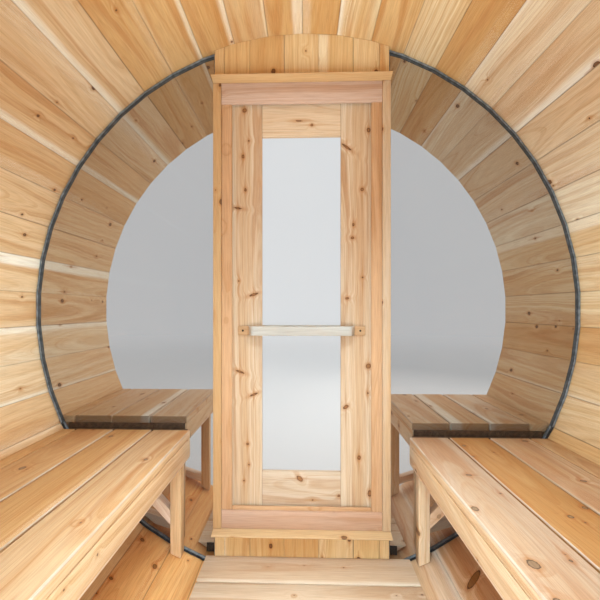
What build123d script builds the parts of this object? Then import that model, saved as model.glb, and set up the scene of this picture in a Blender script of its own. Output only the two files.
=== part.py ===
from build123d import *
from math import radians, sqrt, tan
import os

# Barrel sauna, in millimetres.
# X runs across the barrel, Y along it and Z up. The porch and the door face -Y, the closed
# rear wall faces +Y, and the origin is on the ground under the middle of the barrel.
# "Left" is the left hand of someone inside who faces the door, which is +X.
# Heights named *_top, *_bottom and *_level are measured from the barrel's axis.

# Barrel
stave_count = 50
stave_thickness = 38
stave_gap = 0.5
room_radius = 1029
barrel_length = 2438
axis_height = 1147
fit_gap = 0.5

# Ends
glass_face = -669
rear_wall_inside = 1121
wall_thickness = 38

# Hoops and cradles
band_width = 38
band_thickness = 1.2
band_places = (-1130, -640, 200, 1140)
cradle_places = (-480, 820)
cradle_thickness = 58
cradle_half_width = 590
cradle_height = 235

# Front wall, depths measured from the face of the glass
doorway_offset = 4
post_outer = 326
post_width = 36
wall_face = 22
opening_top = 790
opening_bottom = -768
pane_thickness = 8
gasket_ring_width = 10
gasket_post_width = 6
gasket_lip = 4
gasket_bite = 4

# Door frame
casing_width = 30
casing_thickness = 28
casing_top = 835
casing_bottom = -810
header_height = 76
bottom_board_height = 67
board_thickness = 25
board_rebate = 12.5
cap_reach = 36
cap_slope = 9
cap_lip = 3
stop_inner = 256.5
stop_back = 34.5
stop_face = 42
bottom_stop_height = 15

# Door leaf
leaf_half_width = 283
leaf_thickness = 45
leaf_face = 29
leaf_clearance = 6
glass_half_width = 146.5
glass_top = 643.5
glass_bottom = -603.5
door_glass_recess = 17
door_glass_rebate = 12
door_glass_lap = 10
handle_length = 472
handle_height = 34
handle_level = -79
handle_tab = 38
handle_tab_thickness = 9
handle_ramp = 18
handle_reach = 42
grip_thickness = 24

# Hinges
hinge_levels = (560, 0, -560)
hinge_height = 96
knuckle_radius = 6
pin_radius = 3
running_gap = 0.1
hinge_plate = 3
door_plate_length = 52
frame_plate_length = 33
knuckle_gap = 1

# Floor
floor_top = -925
floor_thickness = 38
floor_half_width = 381
floor_offset = -18
floor_end_bevel = 43
porch_floor_half_width = 412
porch_floor_offset = 5
porch_floor_end_bevel = 60
floor_gap = 4
room_board_count = 12
porch_board_count = 3
trench_width = 63
bearer_offset = 150
bearer_width = 38
bearer_bottom = -1012

# Benches
seat_thickness = 30
seat_board = 142
seat_gap = 6
full_boards = 3
apron_setback = 5
apron_width = 35
apron_height = 72
leg_size = 40
leg_setback = 23
knee_brace_foot = -797
knee_brace_width = 52
knee_brace_reach = 223
foot_brace_foot = -868
foot_brace_width = 34
foot_brace_slope = 0.32
brace_thickness = 38
wall_clearance = 3
end_clearance = 7

# Worked out from the above
outer_radius = room_radius + stave_thickness
barrel_front = -barrel_length / 2
barrel_rear = barrel_length / 2
stave_angle = 360 / stave_count
post_inner = post_outer - post_width
leaf_back = leaf_face - leaf_thickness
leaf_top = opening_top - leaf_clearance
leaf_bottom = opening_bottom + leaf_clearance
hinge_x = (leaf_half_width + post_inner) / 2
gasket_face = glass_face + gasket_lip
gasket_back = glass_face - pane_thickness - gasket_lip
hinge_depth = leaf_back - knuckle_radius

os.makedirs("parts", exist_ok=True)


def save(part, name):
    """Label a finished piece and write it under its own name."""
    part.label = name
    export_step(part, f"parts/{name}.step")


def across(y):
    """Plane across the barrel at y, centred on its axis; an extrusion from it runs to -Y."""
    return Plane((0, y, axis_height), x_dir=(1, 0, 0), z_dir=(0, -1, 0))


def doorway(y):
    """Plane across the doorway at y, centred on it; an extrusion from it runs to -Y."""
    return Plane((doorway_offset, y, axis_height), x_dir=(1, 0, 0), z_dir=(0, -1, 0))


def level(height):
    """Horizontal plane at a height measured from the barrel's axis, centred on the doorway."""
    return Plane((doorway_offset, 0, axis_height + height))


def barrel_outline(radius, mode=Mode.ADD):
    """The many-sided outline of the barrel at a radius measured to the flat of a stave."""
    RegularPolygon(radius, stave_count, major_radius=False, rotation=stave_angle / 2, mode=mode)


def barrel_reach(height, clearance=wall_clearance):
    """How far from the middle the inside of the barrel is at a height."""
    return sqrt((room_radius - clearance) ** 2 - height ** 2)


def wall_meeting(start, height, slope):
    """Where a line that rises outwards from a point meets the inside of the barrel."""
    reach = room_radius - wall_clearance
    level_at_middle = height - slope * start
    steepness = 1 + slope ** 2
    place = (sqrt(steepness * reach ** 2 - level_at_middle ** 2) - slope * level_at_middle) / steepness
    return place, height + slope * (place - start)


# Shell: fifty flat staves with mitred edges, in five runs of ten. A joint between two staves
# is exactly at the top and at the bottom.
inner_width = 2 * room_radius * tan(radians(stave_angle / 2)) - stave_gap
outer_width = 2 * outer_radius * tan(radians(stave_angle / 2)) - stave_gap
staves_in_run = 10
run_angle = staves_in_run * stave_angle
stave_runs = {
    "shell_staves_left_lower": -90,
    "shell_staves_left_upper": -90 + run_angle,
    "shell_staves_top": -90 + 2 * run_angle,
    "shell_staves_right_upper": -90 + 3 * run_angle,
    "shell_staves_right_lower": -90 + 4 * run_angle,
}
for run_name, start in stave_runs.items():
    with BuildPart() as staves:
        with BuildSketch(across(barrel_rear)):
            with PolarLocations(
                room_radius + stave_thickness / 2,
                staves_in_run,
                start_angle=start + stave_angle / 2,
                angular_range=run_angle,
            ):
                Polygon(
                    (-stave_thickness / 2, -inner_width / 2),
                    (stave_thickness / 2, -outer_width / 2),
                    (stave_thickness / 2, outer_width / 2),
                    (-stave_thickness / 2, inner_width / 2),
                    align=None,
                )
        extrude(amount=barrel_length)
    save(staves.part, run_name)

# Four steel straps drawn tight round the staves
with BuildPart() as hoop_bands:
    for place in band_places:
        with BuildSketch(across(place + band_width / 2)):
            barrel_outline(outer_radius + fit_gap + band_thickness)
            barrel_outline(outer_radius + fit_gap, Mode.SUBTRACT)
        extrude(amount=band_width)
save(hoop_bands.part, "hoop_bands")

# Two cradles on the ground, cut to the underside of the barrel
for cradle_name, place in zip(("cradle_front", "cradle_rear"), cradle_places):
    with BuildPart() as cradle:
        with BuildSketch(across(place + cradle_thickness / 2)):
            with Locations((0, cradle_height / 2 - axis_height)):
                Rectangle(2 * cradle_half_width, cradle_height)
            barrel_outline(outer_radius + fit_gap, Mode.SUBTRACT)
        extrude(amount=cradle_thickness)
    save(cradle.part, cradle_name)

# Rear wall, one tight disc inside the staves
with BuildPart() as rear_wall:
    with BuildSketch(across(rear_wall_inside + wall_thickness)):
        barrel_outline(room_radius - fit_gap)
    extrude(amount=wall_thickness)
save(rear_wall.part, "rear_wall")

# Front wall: two posts from stave to stave, and solid wall over and under the doorway, which
# is a little off the middle of the barrel
post_middle = post_outer - post_width / 2
for post_name, side in (("front_post_left", 1), ("front_post_right", -1)):
    with BuildPart() as post:
        with BuildSketch(across(glass_face + wall_face)):
            barrel_outline(room_radius - fit_gap)
            with Locations((doorway_offset + side * post_middle, 0)):
                Rectangle(post_width, 2 * outer_radius, mode=Mode.INTERSECT)
        extrude(amount=wall_thickness)
    save(post.part, post_name)

for wall_name, edge, side in (
    ("wall_over_door", opening_top, 1),
    ("wall_under_door", opening_bottom, -1),
):
    with BuildPart() as wall:
        with BuildSketch(across(glass_face + wall_face)):
            barrel_outline(room_radius - fit_gap)
            with Locations((doorway_offset, edge + side * outer_radius / 2)):
                Rectangle(2 * (post_inner - fit_gap), outer_radius, mode=Mode.INTERSECT)
        extrude(amount=wall_thickness)
    save(wall.part, wall_name)


def end_light(radius, inner_edge, side, mode=Mode.ADD):
    """Outline beside the post: a slice of the barrel from an upright edge outwards."""
    with BuildSketch(mode=Mode.PRIVATE) as slice_outline:
        barrel_outline(radius)
        with Locations((doorway_offset + side * (inner_edge + outer_radius / 2), 0)):
            Rectangle(outer_radius, 2 * outer_radius, mode=Mode.INTERSECT)
    add(slice_outline.sketch, mode=mode)


# Glass each side of the door, held in a rubber channel that runs round it
pane_radius = room_radius - gasket_ring_width + gasket_bite
pane_edge = post_outer + gasket_post_width - gasket_bite
for side_name, side in (("left", 1), ("right", -1)):
    with BuildPart() as pane:
        with BuildSketch(across(glass_face)):
            end_light(pane_radius, pane_edge, side)
        extrude(amount=pane_thickness)
    save(pane.part, f"glass_{side_name}")

    with BuildPart() as gasket:
        with BuildSketch(across(gasket_face)):
            end_light(room_radius - fit_gap, post_outer + fit_gap, side)
            end_light(room_radius - gasket_ring_width, post_outer + gasket_post_width, side, Mode.SUBTRACT)
        extrude(amount=gasket_face - gasket_back)
        with BuildSketch(across(glass_face)):
            end_light(pane_radius, pane_edge, side)
        extrude(amount=pane_thickness, mode=Mode.SUBTRACT)
    save(gasket.part, f"glass_gasket_{side_name}")

# Door frame: casings on the posts, a cap above and below them, and rebated boards between
casing_inner = post_outer - casing_width
casing_middle = post_outer - casing_width / 2
for side_name, side in (("left", 1), ("right", -1)):
    with BuildPart() as casing:
        with BuildSketch(doorway(glass_face + wall_face + casing_thickness)):
            with Locations((side * casing_middle, (casing_top + casing_bottom) / 2)):
                Rectangle(casing_width, casing_top - casing_bottom)
        extrude(amount=casing_thickness)
    save(casing.part, f"door_casing_{side_name}")

# Each cap is a bevelled board: its sloping face leans into the room, away from the doorway
cap_back = glass_face + wall_face
cap_start = cap_back + casing_thickness
cap_front = cap_start + cap_reach
for cap_name, edge, side in (("door_head_cap", casing_top, 1), ("door_sill_cap", casing_bottom, -1)):
    with BuildPart() as cap:
        with BuildSketch(Plane.YZ.offset(doorway_offset - post_outer)):
            with BuildLine():
                Polyline(
                    (cap_back, axis_height + edge),
                    (cap_start, axis_height + edge),
                    (cap_front, axis_height + edge + side * cap_slope),
                    (cap_front, axis_height + edge + side * (cap_slope + cap_lip)),
                    (cap_back, axis_height + edge + side * (cap_slope + cap_lip)),
                    close=True,
                )
            make_face()
        extrude(amount=2 * post_outer)
    save(cap.part, cap_name)

# The boards are rebated behind so that they stand over the edges of the shut door
board_half_width = casing_inner - fit_gap
board_front = cap_back + board_thickness
rebate_face = board_front - board_rebate
for board_name, edge, opening, doorway_edge in (
    ("door_header_board", casing_top, opening_top, casing_top - header_height),
    ("door_bottom_board", casing_bottom, opening_bottom, casing_bottom + bottom_board_height),
):
    with BuildPart() as board:
        with BuildSketch(Plane.YZ.offset(doorway_offset - board_half_width)):
            with BuildLine():
                Polyline(
                    (cap_back, axis_height + edge),
                    (board_front, axis_height + edge),
                    (board_front, axis_height + doorway_edge),
                    (rebate_face, axis_height + doorway_edge),
                    (rebate_face, axis_height + opening),
                    (cap_back, axis_height + opening),
                    close=True,
                )
            make_face()
        extrude(amount=2 * board_half_width)
    save(board.part, board_name)

stop_low = casing_bottom + bottom_board_height
stop_high = casing_top - header_height
stop_width = casing_inner - fit_gap - stop_inner
stop_middle = stop_inner + stop_width / 2
with BuildPart() as door_stops:
    with BuildSketch(doorway(glass_face + stop_face)):
        with Locations((stop_middle, (stop_low + stop_high) / 2), (-stop_middle, (stop_low + stop_high) / 2)):
            Rectangle(stop_width, stop_high - stop_low)
        with Locations((0, stop_low + bottom_stop_height / 2)):
            Rectangle(2 * stop_inner, bottom_stop_height)
    extrude(amount=stop_face - stop_back)
save(door_stops.part, "door_stops")

# Door leaf: two stiles, two rails between them, and one pane that lies in a rebate at the back
stile_width = leaf_half_width - glass_half_width
rebate_half_width = glass_half_width + door_glass_rebate
rebate_top = glass_top + door_glass_rebate
rebate_bottom = glass_bottom - door_glass_rebate
glass_seat = glass_face + leaf_face - door_glass_recess


def glass_rebate():
    """Outline of the rebate that the pane lies in."""
    with BuildSketch(doorway(glass_seat), mode=Mode.PRIVATE) as outline:
        with Locations((0, (rebate_top + rebate_bottom) / 2)):
            Rectangle(2 * rebate_half_width, rebate_top - rebate_bottom)
    return outline.sketch


for side_name, side in (("left", 1), ("right", -1)):
    with BuildPart() as stile:
        with BuildSketch(doorway(glass_face + leaf_face)):
            with Locations((side * (glass_half_width + stile_width / 2), (leaf_top + leaf_bottom) / 2)):
                Rectangle(stile_width, leaf_top - leaf_bottom)
        extrude(amount=leaf_thickness)
        extrude(glass_rebate(), amount=leaf_thickness - door_glass_recess, mode=Mode.SUBTRACT)
    save(stile.part, f"door_stile_{side_name}")

for rail_name, low, high in (
    ("door_top_rail", glass_top, leaf_top),
    ("door_bottom_rail", leaf_bottom, glass_bottom),
):
    with BuildPart() as rail:
        with BuildSketch(doorway(glass_face + leaf_face)):
            with Locations((0, (low + high) / 2)):
                Rectangle(2 * glass_half_width, high - low)
        extrude(amount=leaf_thickness)
        extrude(glass_rebate(), amount=leaf_thickness - door_glass_recess, mode=Mode.SUBTRACT)
    save(rail.part, rail_name)

with BuildPart() as door_glass:
    with BuildSketch(doorway(glass_seat)):
        with Locations((0, (glass_top + glass_bottom) / 2)):
            Rectangle(2 * (glass_half_width + door_glass_lap), glass_top - glass_bottom + 2 * door_glass_lap)
    extrude(amount=pane_thickness)
save(door_glass.part, "door_glass")

# A wooden bar across each face of the leaf: flat ends on the stiles and a raised grip between
half_handle = handle_length / 2
for handle_name, face, out in (
    ("door_handle_inside", glass_face + leaf_face, 1),
    ("door_handle_outside", glass_face + leaf_back, -1),
):
    with BuildPart() as handle:
        with BuildSketch(level(handle_level - handle_height / 2)):
            with BuildLine():
                Polyline(
                    (-half_handle, face),
                    (-half_handle, face + out * handle_tab_thickness),
                    (handle_tab - half_handle, face + out * handle_tab_thickness),
                    (handle_tab + handle_ramp - half_handle, face + out * handle_reach),
                    (half_handle - handle_tab - handle_ramp, face + out * handle_reach),
                    (half_handle - handle_tab, face + out * handle_tab_thickness),
                    (half_handle, face + out * handle_tab_thickness),
                    (half_handle, face),
                    (half_handle - handle_tab, face),
                    (half_handle - handle_tab - handle_ramp, face + out * (handle_reach - grip_thickness)),
                    (handle_tab + handle_ramp - half_handle, face + out * (handle_reach - grip_thickness)),
                    (handle_tab - half_handle, face),
                    close=True,
                )
            make_face()
        extrude(amount=handle_height)
    save(handle.part, handle_name)

# Three butt hinges on the outside. The frame half carries the pin and the door half turns on it.
hinge_y = glass_face + hinge_depth
plate_y = hinge_y + knuckle_radius - hinge_plate / 2
knuckle_height = hinge_height / 3


def hinge_plate_outline(low, side, start, end):
    """Section of a hinge plate from start to end, measured sideways from the pin."""
    with BuildSketch(level(low), mode=Mode.PRIVATE) as outline:
        with Locations((hinge_x + side * (start + end) / 2, plate_y)):
            Rectangle(end - start, hinge_plate)
    return outline.sketch


def round_outline(low, radius):
    """A disc round the hinge pin."""
    with BuildSketch(level(low), mode=Mode.PRIVATE) as outline:
        with Locations((hinge_x, hinge_y)):
            Circle(radius)
    return outline.sketch


with BuildPart() as frame_hinge_leaves:
    for hinge_level in hinge_levels:
        low = hinge_level - hinge_height / 2
        extrude(round_outline(low, pin_radius), amount=hinge_height)
        extrude(
            hinge_plate_outline(low, 1, knuckle_radius + knuckle_gap, frame_plate_length),
            amount=hinge_height,
        )
        for knuckle_low in (low, low + 2 * knuckle_height):
            extrude(round_outline(knuckle_low, knuckle_radius), amount=knuckle_height)
            extrude(hinge_plate_outline(knuckle_low, 1, 0, frame_plate_length), amount=knuckle_height)
save(frame_hinge_leaves.part, "frame_hinge_leaves")

with BuildPart() as door_hinge_leaves:
    for hinge_level in hinge_levels:
        low = hinge_level - hinge_height / 2
        knuckle_low = low + knuckle_height + knuckle_gap
        turning_height = knuckle_height - 2 * knuckle_gap
        extrude(
            hinge_plate_outline(low, -1, knuckle_radius + knuckle_gap, door_plate_length),
            amount=hinge_height,
        )
        extrude(hinge_plate_outline(knuckle_low, -1, 0, door_plate_length), amount=turning_height)
        extrude(round_outline(knuckle_low, knuckle_radius), amount=turning_height)
        extrude(
            round_outline(knuckle_low, pin_radius + running_gap),
            amount=turning_height,
            mode=Mode.SUBTRACT,
        )
save(door_hinge_leaves.part, "door_hinge_leaves")

# Floor: boards across the barrel with ends bevelled to clear the staves, on two bearers
room_floor_start = glass_face + wall_face + fit_gap
room_floor_end = rear_wall_inside - fit_gap
porch_floor_start = barrel_front
porch_floor_end = glass_face - trench_width
for floor_name, start, end, count, half_width, middle, bevel in (
    ("floor_boards_room", room_floor_start, room_floor_end, room_board_count,
     floor_half_width, floor_offset, floor_end_bevel),
    ("floor_boards_porch", porch_floor_start, porch_floor_end, porch_board_count,
     porch_floor_half_width, porch_floor_offset, porch_floor_end_bevel),
):
    pitch = (end - start + floor_gap) / count
    with BuildPart() as floor:
        for number in range(count):
            board_end = start + (number + 1) * pitch - floor_gap
            with BuildSketch(across(board_end)):
                with BuildLine():
                    Polyline(
                        (middle - half_width, floor_top),
                        (middle + half_width, floor_top),
                        (middle + half_width - bevel, floor_top - floor_thickness),
                        (middle - half_width + bevel, floor_top - floor_thickness),
                        close=True,
                    )
                make_face()
            extrude(amount=pitch - floor_gap)
    save(floor.part, floor_name)

bearer_top = floor_top - floor_thickness
front_wall_back = glass_face + wall_face - wall_thickness
with BuildPart() as floor_bearers:
    for start, end in (
        (room_floor_start, room_floor_end),
        (porch_floor_start + end_clearance, front_wall_back - fit_gap),
    ):
        with BuildSketch(across(end)):
            with Locations((bearer_offset, (bearer_top + bearer_bottom) / 2)):
                Rectangle(bearer_width, bearer_top - bearer_bottom)
            with Locations((-bearer_offset, (bearer_top + bearer_bottom) / 2)):
                Rectangle(bearer_width, bearer_top - bearer_bottom)
        extrude(amount=end - start)
save(floor_bearers.part, "floor_bearers")

# Benches: boards along the barrel on an apron and cross cleats, with a leg and a brace at each
# cleat. The braces are knee braces in the room and low foot braces on the porch. The four
# benches differ in height and in how far they stand out from the wall.
room_bench_start = gasket_face + end_clearance
room_bench_end = rear_wall_inside - end_clearance
porch_bench_start = barrel_front + end_clearance
porch_bench_end = gasket_back - end_clearance
room_support_inset = 2
porch_support_inset = 22
benches = {
    "room_bench_left": (1, 426, -458, room_bench_start, room_bench_end, 3),
    "room_bench_right": (-1, 399, -477, room_bench_start, room_bench_end, 3),
    "porch_bench_left": (1, 448, -414, porch_bench_start, porch_bench_end, 2),
    "porch_bench_right": (-1, 416, -432, porch_bench_start, porch_bench_end, 2),
}
for bench_name, (side, front_edge, seat_top, start, end, support_count) in benches.items():
    in_room = bench_name.startswith("room")
    seat_bottom = seat_top - seat_thickness
    seat_pitch = seat_board + seat_gap
    with BuildPart() as boards:
        with BuildSketch(across(end)):
            for number in range(full_boards):
                board_middle = front_edge + number * seat_pitch + seat_board / 2
                with Locations((side * board_middle, (seat_top + seat_bottom) / 2)):
                    Rectangle(seat_board, seat_thickness)
            wall_board_start = front_edge + full_boards * seat_pitch
            with BuildLine():
                Polyline(
                    (side * wall_board_start, seat_top),
                    (side * barrel_reach(seat_top), seat_top),
                    (side * barrel_reach(seat_bottom), seat_bottom),
                    (side * wall_board_start, seat_bottom),
                    close=True,
                )
            make_face()
        extrude(amount=end - start)
    save(boards.part, f"{bench_name}_boards")

    frame_top = seat_bottom - fit_gap
    frame_bottom = frame_top - apron_height
    apron_start = front_edge + apron_setback
    cleat_start = apron_start + apron_width + fit_gap
    leg_start = front_edge + leg_setback
    leg_end = leg_start + leg_size
    leg_top = frame_bottom - fit_gap
    brace_start = leg_end + fit_gap
    if in_room:
        brace_end = brace_start + knee_brace_reach
        brace_corners = (
            (side * brace_start, knee_brace_foot),
            (side * brace_end, leg_top),
            (side * (brace_end - knee_brace_width), leg_top),
            (side * brace_start, knee_brace_foot + knee_brace_width),
        )
    else:
        foot_brace_top = foot_brace_foot + foot_brace_width
        lower_end, lower_level = wall_meeting(brace_start, foot_brace_foot, foot_brace_slope)
        upper_end, upper_level = wall_meeting(brace_start, foot_brace_top, foot_brace_slope)
        brace_corners = (
            (side * brace_start, foot_brace_foot),
            (side * lower_end, lower_level),
            (side * upper_end, upper_level),
            (side * brace_start, foot_brace_top),
        )
    support_inset = room_support_inset if in_room else porch_support_inset
    support_room = end - start - 2 * support_inset - leg_size
    with BuildPart() as frame:
        with BuildSketch(across(end)):
            with Locations((side * (apron_start + apron_width / 2), (frame_top + frame_bottom) / 2)):
                Rectangle(apron_width, apron_height)
        extrude(amount=end - start)
        for number in range(support_count):
            support_end = end - support_inset - number * support_room / (support_count - 1)
            with BuildSketch(across(support_end)):
                with BuildLine():
                    Polyline(
                        (side * leg_start, leg_top),
                        (side * leg_end, leg_top),
                        (side * leg_end, -barrel_reach(leg_end)),
                        (side * leg_start, -barrel_reach(leg_start)),
                        close=True,
                    )
                make_face()
            extrude(amount=leg_size)
            with BuildSketch(across(support_end - (leg_size - brace_thickness) / 2)):
                with BuildLine():
                    Polyline(
                        (side * cleat_start, frame_top),
                        (side * barrel_reach(frame_top), frame_top),
                        (side * barrel_reach(frame_bottom), frame_bottom),
                        (side * cleat_start, frame_bottom),
                        close=True,
                    )
                make_face()
                with BuildLine():
                    Polyline(*brace_corners, close=True)
                make_face()
            extrude(amount=brace_thickness)
    save(frame.part, f"{bench_name}_frame")
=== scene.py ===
import math
import random

import bpy
from mathutils import Matrix, Vector


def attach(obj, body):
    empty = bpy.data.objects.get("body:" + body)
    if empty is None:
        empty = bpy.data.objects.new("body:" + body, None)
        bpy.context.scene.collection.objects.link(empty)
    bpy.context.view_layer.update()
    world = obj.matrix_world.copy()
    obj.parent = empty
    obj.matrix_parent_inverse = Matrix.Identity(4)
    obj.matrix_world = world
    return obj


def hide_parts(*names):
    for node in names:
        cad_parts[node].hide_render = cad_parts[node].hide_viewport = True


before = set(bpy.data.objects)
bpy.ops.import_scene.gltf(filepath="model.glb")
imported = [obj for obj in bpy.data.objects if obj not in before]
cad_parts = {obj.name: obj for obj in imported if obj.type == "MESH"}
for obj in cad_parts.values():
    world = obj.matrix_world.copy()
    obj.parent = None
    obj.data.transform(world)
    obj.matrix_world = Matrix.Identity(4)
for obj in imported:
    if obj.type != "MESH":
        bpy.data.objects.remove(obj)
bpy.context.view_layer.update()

# Camera. The picture is taken inside the room, close to the rear wall and at the height of the
# barrel's axis, looking straight at the door with a wide lens.
camera_data = bpy.data.cameras.new("camera")
camera_data.lens = 24
camera_data.sensor_width = 36
camera_data.shift_x = 0.0155
camera_data.shift_y = 0.0155
camera_data.clip_start = 0.01
camera = bpy.data.objects.new("camera", camera_data)
camera.location = (-0.004, 0.848, 1.147)
camera.rotation_euler = (math.radians(90), 0, math.radians(181.83))
bpy.context.scene.collection.objects.link(camera)
bpy.context.scene.camera = camera

# Cradles. Two upright timbers stand on the ground and are sawn out to the underside of the
# barrel, which rests in them under its own weight.
axis_height = 1.147
stave_count = 50
stave_thickness = 0.038
room_radius = 1.029
outer_radius = room_radius + stave_thickness
lying_along = (math.radians(90), 0, 0)
board_numbers = random.Random(11)


def look(red, green, blue):
    """A colour as it appears on a screen, from 0 to 255, as the shader wants it."""
    return tuple((value / 255) ** 2.2 for value in (red, green, blue)) + (1,)


def only(piece):
    """Select one piece and nothing else."""
    bpy.ops.object.select_all(action="DESELECT")
    piece.select_set(True)
    bpy.context.view_layer.objects.active = piece


def settle(piece, name=None):
    """Bring a piece's place, turn and size into its mesh."""
    if name:
        piece.name = piece.data.name = name
    only(piece)
    bpy.ops.object.transform_apply(location=True, rotation=True, scale=True)
    return piece


def start_block(name, low, high):
    """Add a block between two corners."""
    low, high = Vector(low), Vector(high)
    bpy.ops.mesh.primitive_cube_add(size=1, location=(low + high) / 2, scale=high - low)
    return settle(bpy.context.object, name)


def start_rod(name, sides, radius, length, place, lying, **ends):
    """Add a round or many-sided rod, lying along or across the barrel."""
    bpy.ops.mesh.primitive_cylinder_add(vertices=sides, radius=radius, depth=length, location=place,
                                        rotation=lying, **ends)
    return settle(bpy.context.object, name)


def open_mesh(piece):
    """Open a piece for editing with all of it selected."""
    only(piece)
    bpy.ops.object.mode_set(mode="EDIT")
    bpy.ops.mesh.select_all(action="SELECT")


def close_mesh():
    """End the editing of a piece."""
    bpy.ops.object.mode_set(mode="OBJECT")


def saw_off(piece, point, direction):
    """Saw a piece through at a point and drop what lies in the given direction."""
    open_mesh(piece)
    bpy.ops.mesh.bisect(plane_co=point, plane_no=direction, use_fill=True, clear_outer=True)
    close_mesh()


def cut_away(piece, waste):
    """Take the shape of another piece out of a piece."""
    only(piece)
    cut_out = piece.modifiers.new("cut_out", "BOOLEAN")
    cut_out.object = waste
    cut_out.operation = "DIFFERENCE"
    bpy.ops.object.modifier_apply(modifier="cut_out")
    bpy.data.objects.remove(waste)


def ease_edges(piece, width, rounds=2):
    """Plane the sharp edges off a piece."""
    open_mesh(piece)
    bpy.ops.mesh.bevel(offset=width, segments=rounds)
    close_mesh()
    return piece


def mark_grain(piece, along, across, middle, half_width=1, half_length=10, tone=None):
    """Store how far along, across and into the board each point lies, with the board's own values."""
    along, across, middle = Vector(along), Vector(across), Vector(middle)
    into = along.cross(across)
    grain = []
    for vertex in piece.data.vertices:
        place = vertex.co - middle
        grain.extend((place.dot(along), place.dot(across), place.dot(into)))
    piece.data.attributes.new("grain", "FLOAT_VECTOR", "POINT").data.foreach_set("vector", grain)
    own = {"board": board_numbers.random(), "half": half_width, "end": half_length}
    own["tone"] = board_numbers.random() if tone is None else tone
    for name, value in own.items():
        values = piece.data.attributes.new(name, "FLOAT", "POINT").data
        values.foreach_set("value", [value] * len(piece.data.vertices))


def coat(piece, *materials):
    """Give a piece its materials."""
    for material in materials:
        piece.data.materials.append(material)


def dress(name, parts, material, *nodes, body="sauna"):
    """Make one piece of several parts, smooth its eased edges, give it its material, let it ride
    on its body, and let it stand for its nodes."""
    only(parts[0])
    for part in parts[1:]:
        part.select_set(True)
    if len(parts) > 1:
        bpy.ops.object.join()
    piece = bpy.context.object
    piece.name = piece.data.name = name
    bpy.ops.object.shade_smooth_by_angle(angle=math.radians(35))
    if material:
        piece.data.materials.clear()
        coat(piece, material)
    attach(piece, body)
    if nodes:
        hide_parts(*nodes)
    return piece


def plug(node, sockets):
    """Fill or connect a shader node's sockets."""
    for socket, value in sockets.items():
        if isinstance(value, bpy.types.NodeSocket):
            node.id_data.links.new(value, node.inputs[socket])
        else:
            node.inputs[socket].default_value = value
    return node


def wire(tree, kind, sockets, **options):
    """Add a shader node, set its options, and fill or connect its sockets."""
    made = tree.nodes.new("ShaderNode" + kind)
    for option, value in options.items():
        setattr(made, option, value)
    return plug(made, sockets)


def sum_maker(operation):
    """Make a sum on shader values, which works in the node tree that one of them comes from."""
    def work(*values):
        tree = next(value for value in values if isinstance(value, bpy.types.NodeSocket)).id_data
        return wire(tree, "Math", dict(enumerate(values)), operation=operation).outputs[0]
    return work


plus, minus, times, times_plus = map(sum_maker, ("ADD", "SUBTRACT", "MULTIPLY", "MULTIPLY_ADD"))
power, part_of_one, amount, sign = map(sum_maker, ("POWER", "FRACT", "ABSOLUTE", "SIGN"))
lesser, greater, is_under, is_over = map(sum_maker, ("MINIMUM", "MAXIMUM", "LESS_THAN", "GREATER_THAN"))


def on_vectors(operation, *vectors):
    """A sum on shader vectors, which gives a number for a length or a dot product."""
    made = wire(vectors[0].id_data, "VectorMath", dict(enumerate(vectors)), operation=operation)
    return made.outputs["Value" if operation in ("LENGTH", "DOT_PRODUCT") else "Vector"]


def to_vector(x, y, z=0.0):
    """One shader vector of three values."""
    return wire(x.id_data, "CombineXYZ", {0: x, 1: y, 2: z}).outputs[0]


def to_values(vector, kind="SeparateXYZ"):
    """The three values of a shader vector or colour."""
    return wire(vector.id_data, kind, {0: vector}).outputs


def fade(value, start, end):
    """Zero before start, one after end, and smooth between them."""
    return wire(value.id_data, "MapRange", {"Value": value, "From Min": start, "From Max": end},
                interpolation_type="SMOOTHSTEP").outputs[0]


def noise(place, scale=1.0, detail=2.0, dimensions="3D", roughness=0.5):
    """Soft noise at a place in space, in a plane or on a line."""
    sockets = {"W" if dimensions == "1D" else "Vector": place, "Scale": scale, "Detail": detail,
               "Roughness": roughness}
    return wire(place.id_data, "TexNoise", sockets, noise_dimensions=dimensions).outputs[0]


def tint(share, first, second, blend="MIX"):
    """Mix two colours."""
    return wire(share.id_data, "Mix", {0: share, 6: first, 7: second}, data_type="RGBA",
                blend_type=blend).outputs[2]


def new_material(name):
    """A material with its node tree, its shader and the place on the object."""
    material = bpy.data.materials.new(name)
    material.use_nodes = True
    tree = material.node_tree
    return material, tree, tree.nodes["Principled BSDF"]


def object_place(tree):
    """Where on its object a point lies."""
    return wire(tree, "TexCoord", {}).outputs["Object"]


def ripple(shader, height, strength, distance):
    """Let a surface rise and fall with a shader value."""
    bump = wire(shader.id_data, "Bump", {"Strength": strength, "Distance": distance, "Height": height})
    plug(shader, {"Normal": bump.outputs[0]})


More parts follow.
